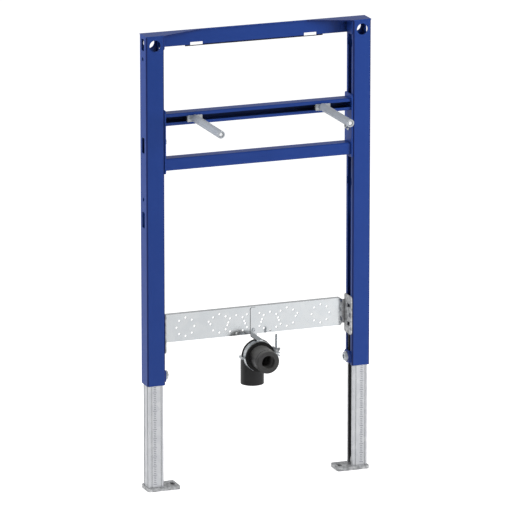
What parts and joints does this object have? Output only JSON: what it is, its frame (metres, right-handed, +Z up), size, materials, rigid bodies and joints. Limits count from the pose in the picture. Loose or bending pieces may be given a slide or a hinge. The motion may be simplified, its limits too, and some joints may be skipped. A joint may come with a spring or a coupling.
{
  "type": "basin installation frame",
  "caption": "Blue steel basin installation frame on telescopic legs, with a slotted crossbar for basin studs and a drain bend clamped to a perforated rail.",
  "frame": {"origin": "on the floor, midway between the bolt slots of the two foot plates, under the middle of the uprights' depth", "axes": "+X to the right seen from the front, +Y to the back (the wall), +Z up; the basin studs point to -Y"},
  "size_m": [0.5, 0.2223, 0.98],
  "materials": {
    "blue_powder_coat": "satin powder coat",
    "zinc_plated_steel": "bright zinc plated",
    "galvanised_steel": "strip galvanised, matt",
    "grey_sleeve_plastic": "extruded, satin",
    "black_polyethylene": "moulded, satin",
    "collar_rubber": "matt",
    "liner_rubber": "matt"
  },
  "bodies": {
    "frame": {"left_upright": "blue_powder_coat", "right_upright": "blue_powder_coat", "top_rail": "blue_powder_coat", "left_corner_bracket": "blue_powder_coat", "right_corner_bracket": "blue_powder_coat", "left_clamp_boss": "blue_powder_coat", "right_clamp_boss": "blue_powder_coat", "left_leg_bolt": "zinc_plated_steel", "right_leg_bolt": "zinc_plated_steel"},
    "left_leg": {"left_leg": "galvanised_steel", "left_foot_plate": "galvanised_steel"},
    "right_leg": {"right_leg": "galvanised_steel", "right_foot_plate": "galvanised_steel"},
    "crossbar": {"rod_bar": "blue_powder_coat", "lower_bar": "blue_powder_coat", "left_end_plate": "blue_powder_coat", "right_end_plate": "blue_powder_coat", "left_plate_screw": "zinc_plated_steel", "right_plate_screw": "zinc_plated_steel"},
    "left_stud": {"left_rod": "zinc_plated_steel", "left_sleeve": "grey_sleeve_plastic", "left_rod_clamp": "zinc_plated_steel"},
    "right_stud": {"right_rod": "zinc_plated_steel", "right_sleeve": "grey_sleeve_plastic", "right_rod_clamp": "zinc_plated_steel"},
    "drain": {"drain_rail": "zinc_plated_steel", "left_rail_bracket": "zinc_plated_steel", "right_rail_bracket": "zinc_plated_steel", "drain_bracket": "zinc_plated_steel", "upper_clamp_band": "zinc_plated_steel", "lower_clamp_band": "zinc_plated_steel", "clamp_liner": "liner_rubber", "clamp_bolt": "zinc_plated_steel", "wing_nut": "zinc_plated_steel", "drain_bend": "black_polyethylene", "rubber_collar": "collar_rubber"}
  },
  "joints": [
    {"name": "left_leg_slide", "type": "slide", "parent": "frame", "child": "left_leg", "axis": [0, 0, 1], "range_m": [0, 0.16]},
    {"name": "right_leg_slide", "type": "slide", "parent": "frame", "child": "right_leg", "axis": [0, 0, 1], "range_m": [0, 0.16]},
    {"name": "crossbar_slide", "type": "slide", "parent": "frame", "child": "crossbar", "axis": [0, 0, 1], "range_m": [-0.08, 0.08]},
    {"name": "left_stud_slide", "type": "slide", "parent": "crossbar", "child": "left_stud", "axis": [1, 0, 0], "range_m": [-0.04, 0.115]},
    {"name": "right_stud_slide", "type": "slide", "parent": "crossbar", "child": "right_stud", "axis": [-1, 0, 0], "range_m": [-0.04, 0.115]},
    {"name": "drain_rail_slide", "type": "slide", "parent": "frame", "child": "drain", "axis": [0, 0, 1], "range_m": [-0.01, 0.18]}
  ]
}
